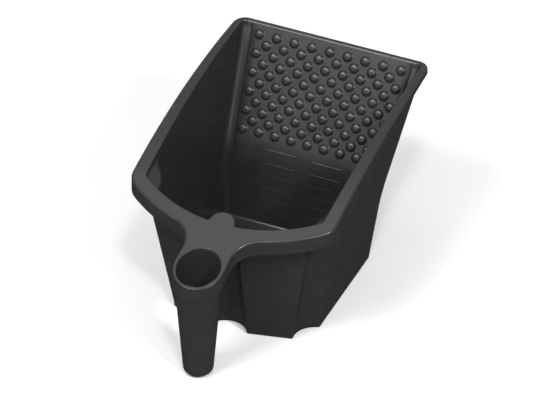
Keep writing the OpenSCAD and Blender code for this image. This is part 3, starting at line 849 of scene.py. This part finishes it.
def run_tree(name, tree, values):
    """Runs a tree on an empty mesh and keeps what it makes as a plain mesh."""
    host = bpy.data.objects.new(name + "_host", bpy.data.meshes.new(name + "_host"))
    bpy.context.scene.collection.objects.link(host)
    modifier = host.modifiers.new("maker", "NODES")
    modifier.node_group = tree
    for item in tree.interface.items_tree:
        if item.in_out == "INPUT" and item.name in values:
            modifier[item.identifier] = values[item.name]
    scene_now = bpy.context.evaluated_depsgraph_get()
    mesh = bpy.data.meshes.new_from_object(host.evaluated_get(scene_now))
    host.modifiers.remove(modifier)
    bpy.data.objects.remove(host)
    mesh.name = name
    made_of = [m for m in mesh.materials if m]
    mesh.materials.clear()
    for m in made_of[:1]:
        mesh.materials.append(m)
    mesh.polygons.foreach_set("material_index", [0] * len(mesh.polygons))
    obj = bpy.data.objects.new(name, mesh)
    bpy.context.scene.collection.objects.link(obj)
    print(name, "faces:", len(mesh.polygons), "materials:", [m.name for m in mesh.materials])
    return obj


# %% Place the studs
tree, g, given = new_tree("stud_field", [
    ("Rows", "Int"), ("Studs in a row", "Int"), ("Stud pitch", "Float"), ("Row pitch", "Float"),
    ("First row", "Float"), ("Taper", "Float"), ("Ramp lean", "Float"), ("Top edge", "Vector"),
    ("Stud", "Object"), ("Plastic", "Material")])
index = g.out("GeometryNodeInputIndex")
across = given["Studs in a row"]
row = (index / across).math("FLOOR")
col = index - row * across
odd = row % 2.0
down = given["First row"] + row * given["Row pitch"]
pitch = given["Stud pitch"] * (1 - given["Taper"] * (down - given["First row"]))
x = (col - (across - 1 - odd) / 2.0) * pitch
lean = given["Ramp lean"]
way = g.out("ShaderNodeCombineXYZ", None,
            {"X": x, "Y": down * lean.math("SINE") * -1.0, "Z": down * lean.math("COSINE") * -1.0})
spot = g.out("ShaderNodeVectorMath", {"operation": "ADD"}, {0: given["Top edge"], 1: way})
points = g.out("GeometryNodePoints", None, {"Count": across * given["Rows"], "Position": spot})
spare = (odd * col) > (across - 1.5)
points = g.out("GeometryNodeDeleteGeometry", {"domain": "POINT"},
               {"Geometry": points, "Selection": spare})
turn_up = g.out("ShaderNodeCombineXYZ", None, {"X": math.pi / 2 - lean})
shape = g.out("GeometryNodeObjectInfo", None, {"Object": given["Stud"]}, output="Geometry")
studs = g.out("GeometryNodeInstanceOnPoints", None,
              {"Points": points, "Instance": shape,
               "Rotation": g.out("FunctionNodeEulerToRotation", None, {"Euler": turn_up})})
finish_tree(g, studs, given["Plastic"])
top_edge = (0.0, (well_len + centre_y) / 1000, rim_back_h / 1000)
stud_piece = run_tree("studs_on_ramp", tree, {
    "Rows": 11, "Studs in a row": 9, "Stud pitch": 0.0156, "Row pitch": 0.00775,
    "First row": 0.0092, "Taper": 1.0, "Ramp lean": ramp, "Top edge": top_edge, "Stud": dome,
    "Plastic": charcoal})
bpy.data.objects.remove(dome)

# %% [markdown]
# ## Measuring lines
# Two sets of raised lines on the lower back wall show how much paint is in the well. One tree makes
# both: its inputs are the first height, the step and the side. Every line sits on the curved face,
# so the tree works out the face's place and lean at each height, with the wall's own rule.

# %% A rounded bar
def bar(name, length, width, proud):
    bm = bmesh.new()
    bmesh.ops.create_cube(bm, size=1)
    for v in bm.verts:
        v.co = (v.co.x * length / 1000, (v.co.y - 0.5) * 2 * proud / 1000 + proud / 1000,
                v.co.z * width / 1000)
    bmesh.ops.bevel(bm, geom=bm.edges[:], offset=0.00022, segments=2, profile=0.5, affect="EDGES")
    mesh = bpy.data.meshes.new(name)
    bm.to_mesh(mesh)
    bm.free()
    obj = bpy.data.objects.new(name, mesh)
    bpy.context.scene.collection.objects.link(obj)
    return obj


line_len, line_gap, line_w, line_up = 26.0, 7.2, 0.8, 0.4
line_bar = bar("line_bar", line_len, line_w, line_up)
# %% The tree that repeats the bar up the wall
tree, g, given = new_tree("scale_lines", [
    ("Lines", "Int"), ("First height", "Float"), ("Step", "Float"), ("Sideways", "Float"),
    ("Foot", "Float"), ("Foot lean", "Float"), ("Bend start", "Float"), ("Bend radius", "Float"),
    ("Bend middle", "Vector"), ("Line", "Object"), ("Plastic", "Material")])
index = g.out("GeometryNodeInputIndex")
z = given["First height"] + index * given["Step"]
bent = z > given["Bend start"]
middle = g.node("ShaderNodeSeparateXYZ", None, {"Vector": given["Bend middle"]})
rise = z - Wire(g, middle.outputs["Z"])
straight_y = given["Foot"] + z * given["Foot lean"].math("TANGENT")
radius = given["Bend radius"]
bent_y = Wire(g, middle.outputs["Y"]) - (radius * radius - rise * rise).math("SQRT")
lean = given["Foot lean"] + bent * ((rise / radius).math("ARCSINE") - given["Foot lean"])
spot = g.out("ShaderNodeCombineXYZ", None,
             {"X": given["Sideways"], "Y": straight_y + bent * (bent_y - straight_y), "Z": z})
points = g.out("GeometryNodePoints", None, {"Count": given["Lines"], "Position": spot})
tilt = g.out("ShaderNodeCombineXYZ", None, {"X": lean * -1.0})
shape = g.out("GeometryNodeObjectInfo", None, {"Object": given["Line"]}, output="Geometry")
lines = g.out("GeometryNodeInstanceOnPoints", None,
              {"Points": points, "Instance": shape,
               "Rotation": g.out("FunctionNodeEulerToRotation", None, {"Euler": tilt})})
finish_tree(g, lines, given["Plastic"])
# %% Run the tree for both scales
wall_sizes = {"Lines": 6, "Foot": (foot_y + centre_y) / 1000, "Foot lean": steep,
              "Bend start": bend_z0 / 1000, "Bend radius": bend_r / 1000,
              "Bend middle": (0.0, (bend_cy + centre_y) / 1000, bend_cz / 1000),
              "Line": line_bar, "Plastic": charcoal}
ml_first, ml_step, oz_first, oz_step = 13.8, 10.9, 19.0, 9.7
sideways = (line_gap + line_len / 2) / 1000
ml_lines = run_tree("scale_lines_left", tree, dict(
    wall_sizes, **{"First height": ml_first / 1000, "Step": ml_step / 1000, "Sideways": -sideways}))
oz_lines = run_tree("scale_lines_right", tree, dict(
    wall_sizes, **{"First height": oz_first / 1000, "Step": oz_step / 1000, "Sideways": sideways}))
bpy.data.objects.remove(line_bar)

# %% [markdown]
# ## Figures of the scale
# The figures are raised by a third of a millimetre, cut into the mould with a plain narrow letter.
# Text objects carry them, because a font is the honest way to draw figures. Each is made a mesh
# first, and only then laid on the curved wall, vertex by vertex, so that its row stays level.

# %% Raise the figures on the wall
def figures(words, x_left, z_mid, height, squeeze=0.86, proud=0.34):
    curve = bpy.data.curves.new("figures", "FONT")
    curve.body, curve.size, curve.extrude = words, height / 0.7, proud
    curve.resolution_u = 3
    obj = bpy.data.objects.new("figures", curve)
    bpy.context.scene.collection.objects.link(obj)
    scene_now = bpy.context.evaluated_depsgraph_get()
    mesh = bpy.data.meshes.new_from_object(obj.evaluated_get(scene_now))
    bpy.data.objects.remove(obj)
    co = np.array([v.co[:] for v in mesh.vertices])
    faces = [tuple(p.vertices) for p in mesh.polygons]
    bpy.data.meshes.remove(mesh)
    x = co[:, 0] * squeeze
    if x_left < 0:
        x = x - x.max() + x_left
    else:
        x = x + x_left
    z = z_mid + co[:, 1] - height / 2
    lean = face_lean(z)
    out = co[:, 2]
    return np.column_stack([x, face_y(z) - out * np.cos(lean), z + out * np.sin(lean)]), faces


# %% Two columns of figures
lettering = Skin()
ml_words = [("ml 1200", 5), ("1000", 4), ("800", 3), ("600", 2), ("400", 1), ("200", 0)]
oz_words = [("40 oz", 5), ("34", 4), ("28", 3), ("22", 2), ("16", 1), ("10", 0)]
ml_edge, ml_wide_edge, oz_edge = -36.6, -36.2, 36.6
letter_h, letter_lift = 4.6, 0.6
labels = [(words, ml_wide_edge if len(words) > 3 else ml_edge, ml_first + k * ml_step)
          for words, k in ml_words]
labels += [(words, oz_edge, oz_first + k * oz_step) for words, k in oz_words]
for words, edge, height in labels:
    pts, faces = figures(words, edge, height + letter_lift, letter_h)
    first = len(lettering.points)
    lettering.points.extend(map(tuple, pts))
    lettering.faces.extend(tuple(first + i for i in f) for f in faces)
figure_piece = lettering.make("scale_figures", crease=30)

# %% [markdown]
# ## Joining the model
# Every piece rides on the tray's one body, and the frame's nodes that it stands for are hidden.
# The nodes themselves stay untouched underneath, for collision.

# %% Ride, and hide the nodes each piece replaces
stands_for = {
    rim_piece: ["rim_front_left", "rim_front_right", "rim_side_left", "rim_side_right", "rim_back",
                "skirt_front_left", "skirt_front_right", "skirt_side_left", "skirt_side_right",
                "skirt_back", "handle_neck", "neck_skirt_left", "neck_skirt_right", "thumb_tab"],
    handle_piece: ["handle_collar", "handle_tube", "handle_end"],
    well_piece: ["floor_pan", "finger_recess_wall", "front_lobe_left", "front_lobe_right",
                 "corner_flute_left", "corner_flute_right", "side_wall_left", "side_wall_right",
                 "lower_back_wall", "roll_off_ramp", "ramp_gutter_left", "ramp_gutter_right"],
    stud_piece: ["ramp_studs"], ml_lines: ["millilitre_lines"], oz_lines: ["ounce_lines"],
    figure_piece: []}
for piece, nodes in stands_for.items():
    if not piece.data.materials:
        piece.data.materials.append(charcoal)
    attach(piece, "root")
    if nodes:
        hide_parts(*nodes)
print("pieces:", len(stands_for), "nodes replaced:", sum(map(len, stands_for.values())))

# %% [markdown]
# ## Studio
# A pale floor and soft lights show a nearly black object best. The broad front light reaches down
# into the well, a faint one overhead draws the flat rim, and two small ones on the right put the
# sparks on the studs and edges. The world fills in from above and stays dark below the horizon,
# and the floor is kept out of reflections, so that the outer walls stay dark.

# %% The floor, and how a camera or light is aimed
bpy.ops.mesh.primitive_plane_add(size=8, location=(0, 0, -0.0003))
floor = bpy.context.object
floor.name = "studio_floor"
floor_paint = bpy.data.materials.new("pale_floor")
floor_paint.use_nodes = True
g = Graph(floor_paint.node_tree)
paint = g.out("ShaderNodeBsdfPrincipled", None,
              {"Base Color": (0.9, 0.9, 0.9, 1), "Roughness": 0.9})
g.node("ShaderNodeOutputMaterial", None, {"Surface": paint})
floor.data.materials.append(floor_paint)
floor.visible_glossy = False
floor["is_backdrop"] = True


def aimed(obj, at, look, right):
    """Stands obj at a point, looking along a direction, with its X axis along right."""
    frame_of = np.eye(4)
    frame_of[:3, 0], frame_of[:3, 1], frame_of[:3, 2] = right, np.cross(right, look), -look
    frame_of[:3, 3] = at
    obj.matrix_world = Matrix(frame_of.tolist())
    bpy.context.scene.collection.objects.link(obj)


def area_light(name, at, aim, size, power):
    light = bpy.data.lights.new(name, "AREA")
    light.shape, light.size, light.size_y, light.energy = "RECTANGLE", size[0], size[1], power
    look = np.array(aim, float) - np.array(at, float)
    look /= np.linalg.norm(look)
    right = np.cross(look, [0, 0, 1] if abs(look[2]) < 0.99 else [0, 1, 0])
    right /= np.linalg.norm(right)
    aimed(bpy.data.objects.new(name, light), at, look, right)


# %% The camera
yaw, pitch, roll = math.radians(23.44), math.radians(36.464), math.radians(0.618)
look = np.array([-math.sin(yaw) * math.cos(pitch), math.cos(yaw) * math.cos(pitch),
                 -math.sin(pitch)])
level = np.array([math.cos(yaw), math.sin(yaw), 0])
over = np.cross(level, look)
camera = bpy.data.objects.new("camera", bpy.data.cameras.new("camera"))
aimed(camera, (1.212073, -2.71924 + centre_y / 1000, 2.321926), look,
      level * math.cos(roll) + over * math.sin(roll))
camera.data.sensor_width = 36
camera.data.lens = 312.657
bpy.context.scene.camera = camera
bpy.context.scene.view_settings.view_transform = "Standard"
print("camera looks down by", round(math.degrees(pitch), 1), "degrees")

# %% The world and the lights
world = bpy.data.worlds.new("studio")
bpy.context.scene.world = world
world.use_nodes = True
g = Graph(world.node_tree)
way = g.node("ShaderNodeSeparateXYZ", None,
             {"Vector": g.out("ShaderNodeTexCoord", output="Generated")})
high = (Wire(g, way.outputs["Z"]) * 3.0 + 0.35).math("MINIMUM", 1.0).math("MAXIMUM", 0.0)
sky = g.out("ShaderNodeBackground", None, {"Color": (1, 1, 1, 1), "Strength": high * 0.42 + 0.05})
g.node("ShaderNodeOutputWorld", None, {"Surface": sky})
area_light("overhead", (-0.5, 0.35, 1.9), (0, 0, 0.08), (0.8, 0.6), 2.2)
area_light("front", (-0.55, -1.05, 1.65), (0, 0.06, 0.08), (0.8, 0.8), 26)
area_light("key", (1.25, -0.8, 1.55), (0, 0.02, 0.08), (0.24, 0.24), 26)
area_light("side", (0.5, -0.95, 1.85), (0, 0.02, 0.08), (0.2, 0.2), 9)

# %% Print the sizes and finish
low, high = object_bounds()
print("visual box, mm:", [round(v * 1000, 1) for v in (*low, *high)])
